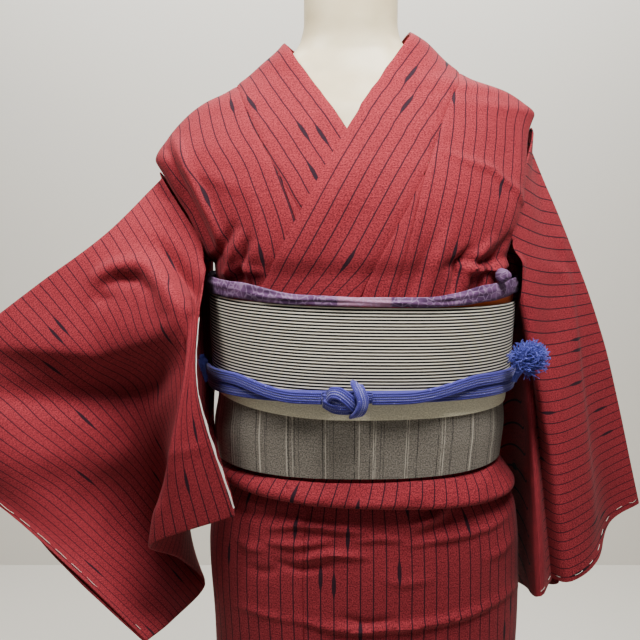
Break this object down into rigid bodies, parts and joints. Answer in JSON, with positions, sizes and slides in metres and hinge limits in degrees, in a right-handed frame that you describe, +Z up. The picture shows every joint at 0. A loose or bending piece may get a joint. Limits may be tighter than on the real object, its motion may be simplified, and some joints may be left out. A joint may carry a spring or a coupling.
{
  "type": "kimono on dress form",
  "caption": "Striped silk kimono with square sleeves, wrapped left over right under a folded belt with sash, braided cord and drum bow, on a limbless dress form with a pole and round base.",
  "frame": {"origin": "centre of the underside of the round base", "axes": "+Z up, +X to the viewer's right, which is the wearer's left, and the front faces -Y"},
  "size_m": [0.8513, 0.3676, 1.421],
  "materials": {
    "silk": "matte woven silk, crimson with dark stripes",
    "lining": "plain pale silk",
    "belt_stripe": "fine black and cream stripes",
    "belt_cream": "plain cream silk",
    "belt_grey": "grey check, slubbed",
    "belt_orange": "plain orange silk",
    "sash": "soft tie-dyed silk",
    "cord": "ribbed flat braid",
    "form": "smooth cream",
    "pole": "satin",
    "base": "satin dark grey"
  },
  "bodies": {
    "root": {"left_body": "silk", "right_body": "silk", "left_overlap": "silk", "right_overlap": "silk", "collar": "silk", "left_overlap_skirt": "silk", "left_front_skirt": "silk", "left_back_skirt": "silk", "right_back_skirt": "silk", "right_front_skirt": "silk", "right_overlap_skirt": "silk", "waist_tuck": "silk", "right_sleeve": "silk", "left_sleeve": "silk", "right_sleeve_lining": "lining", "left_sleeve_lining": "lining", "belt_upper_wrap": "belt_stripe", "belt_drum": "belt_stripe", "belt_middle_fold": "belt_cream", "belt_lower_wrap": "belt_grey", "belt_tail": "belt_grey", "belt_orange_edge": "belt_orange", "sash": "sash", "sash_knot": "sash", "cord_round": "cord", "cord_right_end": "cord", "cord_left_end": "cord", "cord_knot": "cord", "cord_left_tassel": "cord", "cord_right_tassel": "cord", "form_torso": "form", "form_pole": "pole", "form_base": "base"}
  },
  "joints": []
}
